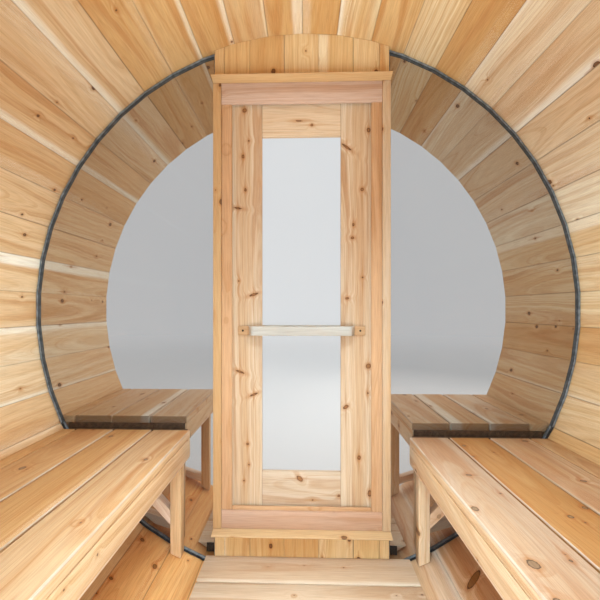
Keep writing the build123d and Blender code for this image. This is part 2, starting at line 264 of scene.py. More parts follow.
def grow_figure():
    """The figure of sawn cedar: growth rings, sapwood, knots and streaks in board space."""
    tree = bpy.data.node_groups.new("cedar_figure", "ShaderNodeTree")
    tree.interface.new_socket("Grain", in_out="INPUT", socket_type="NodeSocketVector")
    for given_value in ("Board", "Placed", "Tails", "Clear"):
        tree.interface.new_socket(given_value, in_out="INPUT", socket_type="NodeSocketFloat")
    given = tree.nodes.new("NodeGroupInput").outputs
    grain, board = given["Grain"], given["Board"]
    along, across, into = to_values(grain)

    # Every board has its own luck
    luck = wire(tree, "TexWhiteNoise", {"W": times(board, 971.3)}, noise_dimensions="1D")
    luck_a, luck_b, luck_c = to_values(luck.outputs["Color"], "SeparateColor")
    shift = times(board, 61.0)

    # Knots: branches that run through the board's thickness, most of them small
    knot_space = to_vector(times_plus(along, 6.5, shift), times_plus(across, 9.0, times(shift, 0.37)))
    branches = wire(tree, "TexVoronoi", {"Vector": knot_space, "Scale": 1.0},
                    voronoi_dimensions="2D").outputs
    kind = to_values(branches["Color"], "SeparateColor")
    absent = is_under(kind[1], given["Clear"])
    radius = times_plus(power(kind[0], 2.5), 0.0075, 0.0024)
    wild = minus(times_plus(branches["Distance"], 0.125, absent), radius)
    outside = times_plus(noise(grain, 190.0), 0.0044, plus(lesser(wild, given["Placed"]), -0.0016))
    knot = fade(outside, 0.0009, -0.0009)
    swell = fade(outside, 0.034, 0.0)
    bulge = times(times(swell, swell), 0.01)
    knot_along, knot_across = to_values(on_vectors("SUBTRACT", knot_space, branches["Position"]))[:2]
    wild_tail = times_plus(amount(knot_across), 0.111, times(amount(knot_along), 0.013))
    wild_tail = plus(wild_tail, greater(absent, is_under(kind[2], 0.45)))
    tail = fade(lesser(wild_tail, given["Tails"]), 0.0085, 0.0)

    # Growth rings about a heart that wanders beside the board
    drift = noise(times_plus(along, 0.9, shift), detail=1.0, dimensions="1D")
    sink = noise(times_plus(along, 0.8, plus(shift, 17.3)), detail=1.0, dimensions="1D")
    heart_across = times_plus(luck_a, 0.16, -0.08)
    heart_into = times_plus(luck_b, 0.085, 0.04)
    side = plus(minus(across, heart_across), times_plus(drift, 0.05, -0.025))
    deep = plus(minus(into, heart_into), times_plus(sink, 0.06, -0.03))
    from_heart = on_vectors("LENGTH", to_vector(side, deep))
    wave = noise(to_vector(times(along, 5.0), times(across, 15.0), shift))
    rings_at = plus(plus(from_heart, bulge), times_plus(wave, 0.006, -0.003))
    ring = noise(to_vector(times(rings_at, 150.0), times_plus(along, 0.35, shift)), detail=3.0,
                 dimensions="2D", roughness=0.65)
    late = part_of_one(times_plus(rings_at, 165.0, times(ring, 0.8)))
    line = times(power(late, 4.0), fade(ring, 0.35, 0.6))
    streak = noise(to_vector(times(rings_at, 62.0), times_plus(along, 0.9, shift)), dimensions="2D")

    # Sapwood is the outer wood of the log: a pale band along the edge away from the heart
    band_edge = times_plus(luck_c, 0.105, 0.018)
    into_band = minus(times(times(across, sign(heart_across)), -1.0), band_edge)
    sap = fade(times_plus(wave, 0.012, into_band), 0.002, 0.018)
    fibre = noise(to_vector(times(along, 12.0), times(across, 420.0), times(into, 420.0)), detail=3.0)
    shade = noise(to_vector(times(along, 1.1), times(across, 13.0), shift))
    joint = wire(tree, "Mix", {0: is_over(across, 0.0), 2: luck_b, 3: luck_c},
                 data_type="FLOAT").outputs[0]
    parts = {"Ring": ring, "Line": line, "Sap": sap, "Halo": fade(outside, 0.0105, 0.0), "Knot": knot,
             "Rim": times(knot, fade(outside, -0.0034, -0.0014)), "Tail": tail,
             "Streak": fade(streak, 0.53, 0.7), "Fibre": fibre, "Shade": shade, "Joint": power(joint, 2.2)}
    for part in parts:
        tree.interface.new_socket(part, in_out="OUTPUT", socket_type="NodeSocketFloat")
    plug(tree.nodes.new("NodeGroupOutput"), parts)
    return tree


cedar_figure = grow_figure()


def near_knots(grain, knots):
    """Distance to the nearest of some knots and their tails. Each knot is given by its place along
    and across the board, its radius, its stretch along the board and, where it leans, its slope."""
    nearest, nearest_tail = 1.0, 1.0
    for knot_along, knot_across, radius, stretch, *slope in knots:
        away = on_vectors("SUBTRACT", grain, (knot_along, knot_across, 0))
        if slope:
            away = to_vector(on_vectors("DOT_PRODUCT", away, (1, -slope[0], 0)), to_values(away)[1])
        edge = minus(on_vectors("LENGTH", on_vectors("MULTIPLY", away, (1 / stretch, 1, 0))), radius)
        nearest = lesser(times(edge, stretch) if stretch < 1 else edge, nearest)
        spread = on_vectors("DOT_PRODUCT", on_vectors("ABSOLUTE", away), (0.075, 1, 0))
        nearest_tail = lesser(spread, nearest_tail)
    return nearest, nearest_tail


def cedar(name, pale, honey, deep, sapwood, sap_share=1, knot_share=1, clear=0.6, knots=(),
          roughness=0.55, joint_and_shade_share=(0.1, 0.62), knot_wood=(116, 76, 48), core=0.0):
    """Planed cedar in three heartwood colours, with pale sapwood, knots and fine fibres."""
    material, tree, shader = new_material(name)
    grain = wire(tree, "Attribute", {}, attribute_name="grain").outputs["Vector"]
    board, half, end, tone = (wire(tree, "Attribute", {}, attribute_name=own).outputs["Fac"]
                              for own in ("board", "half", "end", "tone"))
    placed, tails = near_knots(grain, knots)
    given = {"Grain": grain, "Board": board, "Placed": placed, "Tails": tails, "Clear": clear}
    part = wire(tree, "Group", given, node_tree=cedar_figure).outputs
    along, across = to_values(grain)[:2]
    vein = [value * share for value, share in zip(deep, (0.92, 0.8, 0.66))]
    wood = tint(fade(tone, 0.0, 0.55), look(*pale), look(*honey))
    wood = tint(fade(tone, 0.55, 1.0), wood, look(*deep))
    layers = [(times(fade(part["Shade"], 0.42, 0.72), 0.8), honey),
              (times(fade(part["Ring"], 0.34, 0.72), 0.52), deep),
              (times(part["Line"], 0.34), vein), (times(part["Streak"], 0.5), vein)]
    if core:
        centre = fade(times_plus(part["Shade"], 0.03, amount(across)), 0.052, 0.022)
        layers.append((times(centre, core), deep))
    for share, colour in layers:
        wood = tint(share, wood, look(*colour))
    sap_wood = tint(times(fade(part["Ring"], 0.35, 0.72), 0.4), look(*sapwood), look(*pale))
    wood = tint(times(part["Sap"], sap_share), wood, sap_wood)
    for feature, share, colour in (("Tail", 0.62, vein), ("Halo", 0.5, vein), ("Knot", 0.9, knot_wood),
                                   ("Rim", 0.72, (74, 46, 30))):
        wood = tint(times(part[feature], share * knot_share), wood, look(*colour))
    wood = tint(times(fade(part["Fibre"], 0.35, 0.75), 0.24), wood, look(150, 108, 76), "MULTIPLY")
    # Dark at the joints between tight boards, and at sawn ends where the end grain is darker; on the benches
    # the same darkening is also painted shade, in the gaps between the seat boards and on their ends by the
    # glass
    joint = times(fade(minus(half, amount(across)), 0.0034, 0.0006),
                  times_plus(part["Joint"], joint_and_shade_share[1], joint_and_shade_share[0]))
    wood = tint(joint, wood, look(104, 64, 38))
    sawn_end_and_shade = fade(minus(end, amount(along)), 0.0022, 0.0006)
    wood = tint(times(sawn_end_and_shade, 0.65), wood, look(120, 82, 52))
    plug(shader, {"Base Color": wood, "Roughness": times_plus(part["Ring"], 0.14, roughness - 0.07),
                  "Specular IOR Level": 0.22})
    height = times_plus(part["Fibre"], 0.5, times(part["Ring"], 0.5))
    ripple(shader, times_plus(part["Knot"], -0.6, height), 0.25, 0.0006)
    return material


cradle_timber = cedar("cradle_timber", (176, 132, 88), (164, 118, 76), (140, 96, 58), (190, 150, 108),
                      sap_share=0.5, clear=0.5, roughness=0.7)
half_cradle = 0.59
half_timber = 0.029
cradle_top = 0.235
saw_line_radius = (outer_radius + 0.0005) / math.cos(math.pi / stave_count)
for node, place in (("cradle_front", -0.48), ("cradle_rear", 0.82)):
    cradle = start_block("cradle", (-half_cradle, place - half_timber, 0),
                         (half_cradle, place + half_timber, cradle_top))
    cut_away(cradle, start_rod("saw_line", stave_count, saw_line_radius, 0.4, (0, place, axis_height),
                               lying_along))
    ease_edges(cradle, 0.003)
    mark_grain(cradle, (1, 0, 0), (0, 0, 1), (0, place, 0.1), 1, half_cradle)
    dress(node + "_timber", [cradle], cradle_timber, node)

# Staves. Fifty flat cedar boards lie side by side round the barrel. Their edges are mitred to
# close tight, and eased inside and outside so that each joint shows as a fine groove.
barrel_front = -1.219
barrel_rear = 1.219
stave_angle = math.radians(360 / stave_count)
half_angle = stave_angle / 2
# Each run of ten boards has its heartwood from pale to deep, and its sapwood
stave_woods = {
    "left_lower": ((244, 190, 128), (240, 176, 104), (224, 142, 74), (246, 204, 148)),
    "left_upper": ((240, 218, 180), (230, 192, 144), (208, 158, 102), (248, 236, 212)),
    "top": ((236, 212, 168), (222, 180, 124), (203, 148, 86), (247, 232, 204)),
    "right_upper": ((244, 226, 192), (230, 198, 156), (212, 166, 116), (250, 238, 218)),
    "right_lower": ((236, 206, 160), (222, 176, 120), (203, 146, 84), (247, 226, 192)),
    "right_foot": ((238, 208, 174), (228, 178, 126), (208, 146, 88), (246, 224, 196)),
}
# The second five boards of some runs match the next run
next_woods = {"left_lower": "left_upper", "right_upper": "right_lower", "right_lower": "right_foot"}
stave_knots = {
    ("left_lower", 4): ((-0.602, -0.0423, 0.0085, 1.0), (-0.383, -0.0539, 0.0075, 0.8)),
    ("right_lower", 5): ((-0.456, 0.0, 0.034, 0.46, -0.55),),
}
# The boards high on the right are the palest, and those low on the left the most honey coloured
stave_tones = {"right_upper": (0.0, 0.5), "right_lower": (0.05, 0.7), "left_lower": (0.25, 0.95)}
axis_point = (0, 0, axis_height)
stave = start_block("stave", (-0.07, barrel_front, axis_height + room_radius),
                    (0.07, barrel_rear, axis_height + outer_radius))
for side in (1, -1):
    saw_off(stave, axis_point, (side * math.cos(half_angle), 0, -math.sin(half_angle)))
ease_edges(stave, 0.001)
to_axis = Matrix.Translation(axis_point)
stave_runs = {"left_lower": -90, "left_upper": -18, "top": 54, "right_upper": 126, "right_lower": 198}
for run_name, start in stave_runs.items():
    run = []
    next_wood = next_woods.get(run_name, run_name)
    stave_cedars = [cedar(f"{run_name}_cedar_{wood}", *stave_woods[wood]) for wood in (run_name, next_wood)]
    for number in range(10):
        turned = stave.copy()
        turned.data = stave.data.copy()
        bpy.context.scene.collection.objects.link(turned)
        mark_grain(turned, (0, 1, 0), (1, 0, 0), (0, 0, axis_height + room_radius),
                   room_radius * math.tan(half_angle), barrel_rear,
                   board_numbers.uniform(*stave_tones.get(run_name, (0.1, 0.8))))
        angle = math.radians(90 - start) - stave_angle * (number + 0.5)
        turned.matrix_world = to_axis @ Matrix.Rotation(angle, 4, "Y") @ to_axis.inverted()
        wood = next_wood if number > 4 else run_name
        own_cedar = stave_cedars[number > 4]
        if (run_name, number) in stave_knots:
            own_cedar = cedar(f"{run_name}_cedar_{number}", *stave_woods[wood], knot_wood=(146, 96, 50),
                              knots=stave_knots[run_name, number])
        coat(turned, own_cedar)
        run.append(settle(turned))
    dress(f"staves_{run_name}_boards", run, None, "shell_staves_" + run_name)
bpy.data.objects.remove(stave)

# Hoops. Four stainless straps are drawn tight round the staves, each by a threaded rod between
# two folded lugs at the side of the barrel.
band_width = 0.038
band_thickness = 0.0012
band_radius = (outer_radius + 0.0005) / math.cos(half_angle)
rod_level = outer_radius + 0.013
lug_end = outer_radius + 0.001
half_lug = 0.016
lying_across = (0, math.radians(90), 0)


def metal(name, colour, roughness, brushed):
    """Metal with fine wear in its gloss."""
    material, tree, shader = new_material(name)
    lay = wire(tree, "Mapping", {0: object_place(tree), 3: brushed})
    wear = noise(lay.outputs[0], detail=4.0)
    plug(shader, {"Base Color": tint(wear, look(*[value * 0.82 for value in colour]), look(*colour)),
                  "Roughness": times_plus(wear, 0.2, roughness - 0.1), "Metallic": 1.0})
    ripple(shader, wear, 0.1, 0.0003)
    return material


hoop_steel = metal("hoop_steel", (205, 206, 208), 0.32, (30, 900, 30))
bands = []
lug_turn = Matrix.Translation(axis_point) @ Matrix.Rotation(math.radians(115), 4, "Y")
for place in (-1.13, -0.64, 0.2, 1.14):
    band = start_rod("band", stave_count, band_radius, band_width, (0, place, axis_height), lying_along,
                     end_fill_type="NOTHING")
    strap = band.modifiers.new("strap", "SOLIDIFY")
    strap.thickness = band_thickness
    strap.offset = 1
    bpy.ops.object.modifier_apply(modifier="strap")
    bands.append(ease_edges(band, 0.0003, 1))
    tightener = []
    for side in (-1, 1):
        lug = start_block("lug", (side * 0.03 - 0.0015, place - half_lug, lug_end),
                          (side * 0.03 + 0.0015, place + half_lug, outer_radius + 0.024))
        edges = sorted((side * 0.0285, side * 0.062))
        foot = start_block("foot", (edges[0], place - half_lug, lug_end),
                           (edges[1], place + half_lug, outer_radius + 0.004))
        nut = start_rod("nut", 6, 0.0075, 0.006, (side * 0.0345, place, rod_level), lying_across)
        tightener += [ease_edges(part, 0.0008) for part in (lug, foot, nut)]
    rod = start_rod("rod", 16, 0.004, 0.092, (0, place, rod_level), lying_across)
    tightener.append(ease_edges(rod, 0.0006, 1))
    for part in tightener:
        part.matrix_world = lug_turn
        settle(part)
    bands += tightener
dress("hoops_and_tighteners", bands, hoop_steel, "hoop_bands")

# Rear wall. Sixteen upright cedar boards close the barrel's far end. They are jointed tight and
# sawn to the many-sided inside of the barrel.
wall_thickness = 0.038
wall_top = axis_height + 1.04
wall_bottom = axis_height - 1.04
wall_radius = room_radius - 0.0005
board_pitch = 0.1287


def plank(name, low, high, along, ease=0.002, cuts=(), tight=False, tone=None, notches=()):
    """One planed board, sawn where asked, with eased edges. Tight boards show a fine dark joint."""
    low, high = Vector(low), Vector(high)
    board = start_block(name, low, high)
    for point, direction in cuts:
        saw_off(board, point, direction)
    for corners in notches:
        cut_away(board, start_block("waste", *corners))
    ease_edges(board, ease, 3 if ease > 0.0025 else 2)
    size = high - low
    wide = max([axis for axis in range(3) if axis != along], key=lambda axis: size[axis])
    units = Matrix.Identity(3)
    mark_grain(board, units[along], units[wide], (low + high) / 2, size[wide] / 2 if tight else 1,
               10 if cuts else size[along] / 2, tone)
    return board


def barrel_cuts(low, high, radius):
    """The saw cuts that fit a board between two corners into the barrel."""
    cuts = []
    for number in range(stave_count):
        angle = stave_angle * (number + 0.5) - math.pi / 2
        direction = Vector((math.cos(angle), 0, math.sin(angle)))
        point = Vector(axis_point) + direction * radius
        corners = [Vector((x, 0, z)) for x in (low[0], high[0]) for z in (low[2], high[2])]
        if max((corner - point).dot(direction) for corner in corners) > 0:
            cuts.append((point, direction))
    return cuts


def fitted_plank(name, low, high, along, ease=0.002, radius=wall_radius, **choices):
    """A board between two corners, sawn to the inside of the barrel."""
    return plank(name, low, high, along, ease, barrel_cuts(low, high, radius), **choices)


wall_cedar = cedar("wall_cedar", (240, 210, 160), (233, 194, 136), (216, 166, 106), (247, 228, 190))
rear_boards = []
for number in range(16):
    low = ((number - 8) * board_pitch, 1.121, wall_bottom)
    high = ((number - 7) * board_pitch, 1.159, wall_top)
    rear_boards.append(fitted_plank("rear_board", low, high, 2, tight=True))
dress("rear_wall_boards", rear_boards, wall_cedar, "rear_wall")

# Front wall. Two cedar posts run from stave to stave beside the doorway, with upright boards
# between them over and under it. All are sawn to the barrel at their ends.
sides = (("left", 1), ("right", -1))
doorway = 0.004
frame_edge = 0.326
glass_face = -0.669
wall_inside = glass_face + 0.022
wall_outside = wall_inside - wall_thickness
opening_top = axis_height + 0.79
opening_bottom = axis_height - 0.768


def beside(side, inner, outer, y_start, y_end, low, high, middle=doorway):
    """Two corners of a piece that stands on one side of the doorway, or of another middle."""
    edges = sorted((middle + side * inner, middle + side * outer))
    return (edges[0], y_start, low), (edges[1], y_end, high)


for side_name, side in sides:
    node = f"front_post_{side_name}"
    corners = beside(side, 0.29, frame_edge, wall_outside, wall_inside, wall_bottom, wall_top)
    dress(node + "_timber", [fitted_plank("post", *corners, 2)], wall_cedar, node)
seams = [doorway + x for x in (-0.2895, -0.1932, -0.0644, 0.0644, 0.1932, 0.2895)]
for node, low_level, high_level in (
    ("wall_over_door", opening_top, wall_top), ("wall_under_door", wall_bottom, opening_bottom),
):
    boards = [fitted_plank("wall_board", (start, wall_outside, low_level), (end, wall_inside, high_level), 2,
                           0.0012, tight=True) for start, end in zip(seams, seams[1:])]
    dress(node + "_boards", boards, wall_cedar, node)

# Glazing channel. A rubber channel with rounded lips runs round each pane, against the staves
# and down the side of the post, and holds the glass without any beading.
gasket_face = glass_face + 0.004
gasket_back = glass_face - 0.012
lip_height = 0.0015
# Painted light and shade: under the benches the side towards the axis is painted lighter, and the room face
# darker, than above them
seat_line = axis_height - 0.47


def pick_faces(piece, rule):
    """Open a piece for editing with the faces selected that a rule picks."""
    open_mesh(piece)
    bpy.ops.mesh.select_mode(type="FACE")
    bpy.ops.mesh.select_all(action="DESELECT")
    close_mesh()
    for polygon in piece.data.polygons:
        polygon.select = rule(polygon)
    bpy.ops.object.mode_set(mode="EDIT")


def rubber(name, colour):
    """Dull rubber, a little dusty."""
    material, tree, shader = new_material(name)
    dust = noise(object_place(tree), 60.0, 4.0)
    dusty = [min(255, value * 1.35 + 10) for value in colour]
    plug(shader, {"Base Color": tint(fade(dust, 0.35, 0.75), look(*colour), look(*dusty)),
                  "Roughness": times_plus(dust, 0.2, 0.55), "Specular IOR Level": 0.3})
    ripple(shader, dust, 0.15, 0.0004)
    return material


# One rubber in three greys: the plain grey, a darker copy painted as shade on the side towards the axis, and
# near black painted as shadow on the lip rims and outer faces
channel_rubber = rubber("channel_rubber", (98, 101, 101))
channel_shadow = rubber("channel_shadow", (40, 40, 40))
channel_side_shade = rubber("channel_side_shade", (64, 66, 66))
for side_name, side in sides:
    bpy.ops.mesh.primitive_circle_add(
        vertices=stave_count, radius=wall_radius / math.cos(half_angle), fill_type="NGON",
        location=(0, gasket_back, axis_height), rotation=lying_along)
    channel = settle(bpy.context.object)
    open_mesh(channel)
    bpy.ops.mesh.select_mode(type="FACE")
    bpy.ops.mesh.bisect(plane_co=(doorway + side * 0.3265, 0, 0), plane_no=(-side, 0, 0), clear_outer=True)
    bpy.ops.mesh.select_all(action="SELECT")
    bpy.ops.mesh.inset(thickness=0.0095)
    bpy.ops.mesh.delete(type="FACE")
    bpy.ops.mesh.select_all(action="SELECT")
    depth = gasket_face - lip_height - gasket_back
    bpy.ops.mesh.extrude_region_move(TRANSFORM_OT_translate={"value": (0, depth, 0)})
    bpy.ops.mesh.select_all(action="SELECT")
    bpy.ops.mesh.normals_make_consistent()
    close_mesh()
    # The strip beside the post is slimmer than the ring
    for vertex in channel.data.vertices:
        if 0.33 < side * (vertex.co.x - doorway) < 0.337:
            vertex.co.x = doorway + side * 0.332
    coat(channel, channel_shadow, channel_rubber, channel_side_shade)
    # Painted shade by place: the side towards the axis gets the darker copy above the benches and the plain
    # grey under them
    for face in channel.data.polygons:
        outward = Vector((face.center.x, 0, face.center.z - axis_height))
        inner_side = 1 if face.center.z < seat_line else 2
        face.material_index = inner_side if face.normal.dot(outward) < -0.3 else 0
    for way, rise in ((1, lip_height), (-1, 0)):
        pick_faces(channel, lambda face: face.normal.y * way > 0.89)
        bpy.ops.mesh.inset(thickness=0.0012)
        bpy.ops.transform.translate(value=(0, rise, 0))
        close_mesh()
        for face in channel.data.polygons:
            if face.select:
                face.material_index = 0 if face.center.z < seat_line else 1
    dress(f"glazing_channel_{side_name}", [channel], None, f"glass_gasket_{side_name}")


def glass(name, colour, density):
    """Pane glass: mostly clear, with a tint and the faintest smears in its gloss."""
    material, tree, shader = new_material(name)
    smear = noise(object_place(tree), 4.0, 3.0)
    plug(shader, {"Base Color": tint(smear, look(*colour), look(*[value * 0.9 for value in colour])),
                  "Roughness": times_plus(smear, 0.03, 0.01), "Alpha": density, "Specular IOR Level": 0.8})
    return material


def coat_node(node, material):
    """Put a material on a node that stays as it is."""
    bpy.data.objects[node].data.materials.clear()
    coat(bpy.data.objects[node], material)


tinted_glass = glass("tinted_glass", (56, 48, 42), 0.22)
coat_node("glass_left", tinted_glass)
coat_node("glass_right", tinted_glass)

# Door frame. Casings are fixed on the posts, with a bevelled cap over and under them and a wide
# pinkish board behind each cap. Thin stops stand just inside the casings.
casing_cedar = cedar("casing_cedar", (206, 184, 158), (206, 165, 118), (196, 152, 104), (218, 200, 174),
                     0.5, 0.9)
pink_cedar = cedar("pink_cedar", (194, 146, 112), (206, 174, 152), (190, 154, 128), (212, 176, 148),
                   0.3, 0.1)
stop_cedar = cedar("stop_cedar", (214, 172, 130), (208, 162, 120), (190, 142, 98), (222, 184, 148),
                   0.3, 0.0)
casing_face = wall_inside + 0.028
casing_top = axis_height + 0.835
casing_bottom = axis_height - 0.81
for side_name, side in sides:
    node = f"door_casing_{side_name}"
    corners = beside(side, 0.296, frame_edge, wall_inside, casing_face, casing_bottom, casing_top)
    casing = plank("casing", *corners, 2, 0.0015, tone=0.8 if side > 0 else 0.2)
    dress(node + "_board", [casing], casing_cedar, node)
cap_depth = 0.036
for node, edge, side in (("door_head_cap", casing_top, 1), ("door_sill_cap", casing_bottom, -1)):
    low_z, high_z = sorted((edge, edge + side * 0.012))
    bevel = ((0, casing_face, edge), Vector((0, 0.009, -side * cap_depth)))
    cap = plank("cap", (doorway - frame_edge, wall_inside, low_z),
                (doorway + frame_edge, casing_face + cap_depth, high_z), 0, 0.0012, [bevel],
                tone=0.9 if side > 0 else 0.6)
    dress(node + "_board", [cap], casing_cedar, node)

stop_edge = 0.2955
stop_top = axis_height + 0.759
stop_bottom = axis_height - 0.743
board_face = wall_inside + 0.025
rebate_face = board_face - 0.0125
for node, edge, opening, stop_end, tone in (
    ("door_header_board", casing_top, opening_top, stop_top, 0.7),
    ("door_bottom_board", casing_bottom, opening_bottom, stop_bottom, 0.0),
):
    low_z, high_z = sorted((edge, stop_end))
    board = start_block("board", (doorway - stop_edge, rebate_face, low_z),
                        (doorway + stop_edge, board_face, high_z))
    open_mesh(board)
    bpy.ops.mesh.bisect(plane_co=(0, 0, opening), plane_no=(0, 0, 1))
    close_mesh()
    pick_faces(board, lambda face: face.normal.y < -0.9 and abs(face.center.z - edge) < abs(opening - edge))
    bpy.ops.mesh.extrude_region_move(TRANSFORM_OT_translate={"value": (0, wall_inside - rebate_face, 0)})
    close_mesh()
    ease_edges(board, 0.0015)
    mark_grain(board, (1, 0, 0), (0, 0, 1), (doorway, board_face, (low_z + high_z) / 2), tone=tone)
    dress(node + "_plank", [board], pink_cedar, node)

stops = []
stop_inner = 0.2565
stop_back = glass_face + 0.0345
stop_face = glass_face + 0.042
for side in (1, -1):
    corners = beside(side, stop_inner, stop_edge, stop_back, stop_face, stop_bottom, stop_top)
    bevel = ((doorway + side * stop_inner + side * 0.006, stop_face, 0), (-side * 0.5, 0.6, 0))
    stops.append(plank("stop", *corners, 2, 0.0008, [bevel], tone=0.5 if side > 0 else 0.3))
stops.append(plank("bottom_stop", (doorway - 0.2562, stop_back, stop_bottom),
                   (doorway + 0.2562, stop_face, stop_bottom + 0.015), 0, 0.0015, tone=0.5))
dress("door_stop_boards", stops, stop_cedar, "door_stops")

# Door leaf. Two cedar stiles with rails between them, planed flush, and a clear pane set close
# to the inner face. It opens outwards over the porch.
leaf_face = glass_face + 0.029
leaf_back = leaf_face - 0.045
leaf_top = opening_top - 0.006
leaf_bottom = opening_bottom + 0.006
glass_top = axis_height + 0.6435
glass_bottom = axis_height - 0.6035
stile_edge = 0.1465
rebate = ((doorway - stile_edge - 0.012, leaf_back - 0.01, glass_bottom - 0.012),
          (doorway + stile_edge + 0.012, leaf_face - 0.017, glass_top + 0.012))
stile_knots = {
    "left": ((0.732, -0.003, 0.0086, 1.0), (0.618, -0.019, 0.0037, 1.0), (0.56, 0.003, 0.0056, 1.5),
             (0.435, -0.006, 0.005, 1.3), (0.367, 0.023, 0.016, 0.28, 0.15), (0.095, 0.019, 0.0033, 1.0),
             (0.044, -0.037, 0.018, 0.3, -0.3), (-0.244, 0.015, 0.017, 0.28, 0.35),
             (-0.329, -0.037, 0.016, 0.3, -0.4), (-0.514, -0.014, 0.0056, 1.0), (-0.591, -0.019, 0.0033, 1.0),
             (-0.651, -0.001, 0.0033, 1.0)),
    "right": ((0.59, 0.047, 0.019, 0.3, 0.7), (0.652, -0.034, 0.007, 1.3), (0.433, -0.01, 0.0067, 1.0),
              (0.303, 0.022, 0.0045, 1.4), (0.254, 0.026, 0.0074, 0.7), (0.107, -0.012, 0.0037, 1.0),
              (0.03, 0.045, 0.0082, 0.6), (-0.221, -0.033, 0.0097, 1.0), (-0.321, -0.031, 0.0037, 1.4),
              (-0.373, 0.05, 0.0105, 0.7, -0.4), (-0.56, 0.001, 0.0066, 1.4), (-0.692, -0.038, 0.008, 1.6)),
}
leaf_look = {"sap_share": 0.6, "clear": 1.1, "knot_wood": (150, 98, 58)}
for side_name, side in sides:
    node = f"door_stile_{side_name}"
    corners = beside(side, stile_edge, 0.283, leaf_back, leaf_face, leaf_bottom, leaf_top)
    stile = plank("stile", *corners, 2, 0.0012, tone=0.15, notches=[rebate])
    stile_cedar = cedar(node + "_cedar", (224, 203, 173), (212, 180, 144), (196, 152, 108), (236, 222, 198),
                        knots=stile_knots[side_name], core=0.5, **leaf_look)
    dress(node + "_board", [stile], stile_cedar, node, body="door")
for node, low_z, high_z, tone, woods, knots in (
    ("door_top_rail", glass_top, leaf_top, 0.25,
     ((222, 196, 164), (215, 185, 150), (204, 166, 128), (232, 214, 188)),
     ((-0.039, -0.029, 0.006, 1.0), (0.009, -0.013, 0.003, 5.0))),
    ("door_bottom_rail", leaf_bottom, glass_bottom, 0.0,
     ((207, 182, 154), (200, 170, 138), (190, 154, 118), (216, 198, 174)),
     ((0.006, 0.053, 0.0115, 0.9, 0.5), (-0.139, -0.009, 0.0055, 1.0), (-0.043, -0.026, 0.003, 1.5))),
):
    low, high = (doorway - stile_edge, leaf_back, low_z), (doorway + stile_edge, leaf_face, high_z)
    rail = plank("rail", low, high, 0, 0.0012, tone=tone, notches=[rebate])
    rail_cedar = cedar(node + "_cedar", *woods, knots=knots, **leaf_look)
    dress(node + "_board", [rail], rail_cedar, node, body="door")
coat_node("door_glass", glass("clear_glass", (190, 196, 196), 0.06))

# Handles. Each is sawn from one pale board: a thin tab screwed to each stile, a short sweep out
# from it, and a straight rounded grip between them.
handle_level = axis_height - 0.079
half_handle = 0.236
half_height = 0.017
tab_length = 0.038
tab_thickness = 0.009
# Each step of the sweep: how far along, how far out, and how much thicker
sweep = [(0.003, 0.0015, 1.25), (0.004, 0.006, 1.45), (0.004, 0.0085, 1.22), (0.005, 0.007, 1.12),
         (0.008, 0.003, 1.06)]
grip = (2 * (half_handle - tab_length - sum(step[0] for step in sweep)), 0, 1)
back = [(step_x, -step_y, 1 / stretch) for step_x, step_y, stretch in reversed(sweep)]
handle_wood = cedar("handle_wood", (219, 218, 209), (212, 210, 199), (197, 190, 176), (227, 226, 217),
                    0.3, 0.0)
tab_wood = cedar("tab_wood", (220, 186, 146), (210, 172, 130), (190, 148, 106), (230, 204, 170), 0.3, 0.0)
screw_steel = metal("screw_steel", (70, 66, 60), 0.45, (200, 200, 200))
for node, leaf_side, out in (("door_handle_inside", leaf_face, 1), ("door_handle_outside", leaf_back, -1)):
    x, y = doorway - half_handle + tab_length, leaf_side + out * tab_thickness / 2
    depths = sorted((leaf_side, leaf_side + out * tab_thickness))
    handle = start_block("handle", (doorway - half_handle, depths[0], handle_level - half_height),
                         (x, depths[1], handle_level + half_height))
    pick_faces(handle, lambda face: face.normal.x > 0.9)
    for step_x, step_y, stretch in sweep + [grip] + back + [(tab_length, 0, 1)]:
        x, y = x + step_x, y + out * step_y
        bpy.ops.mesh.extrude_region_move(TRANSFORM_OT_translate={"value": (step_x, out * step_y, 0)})
        bpy.ops.transform.resize(value=(1, stretch, 1), center_override=(x, y, handle_level))
    close_mesh()
    ease_edges(handle, 0.0025, 3)
    mark_grain(handle, (1, 0, 0), (0, 0, 1), (doorway, leaf_side, handle_level))
    handle = dress(node + "_bar", [handle], handle_wood, node, body="door")
    coat(handle, tab_wood)
    for face in handle.data.polygons:
        if abs(face.center.x - doorway) > half_handle - 0.041:
            face.material_index = 1
    screws = []
    for side in (-1, 1):
        place = (doorway + side * (half_handle - tab_length / 2), leaf_side + out * 0.0094, handle_level)
        screw = start_rod("screw", 20, 0.0038, 0.0016, place, lying_along)
        pick_faces(screw, lambda face: out * face.normal.y > 0.9)
        bpy.ops.mesh.inset(thickness=0.0014)
        bpy.ops.transform.translate(value=(0, -out * 0.0008, 0))
        close_mesh()
        screws.append(screw)
    dress(node + "_screws", screws, screw_steel, body="door")

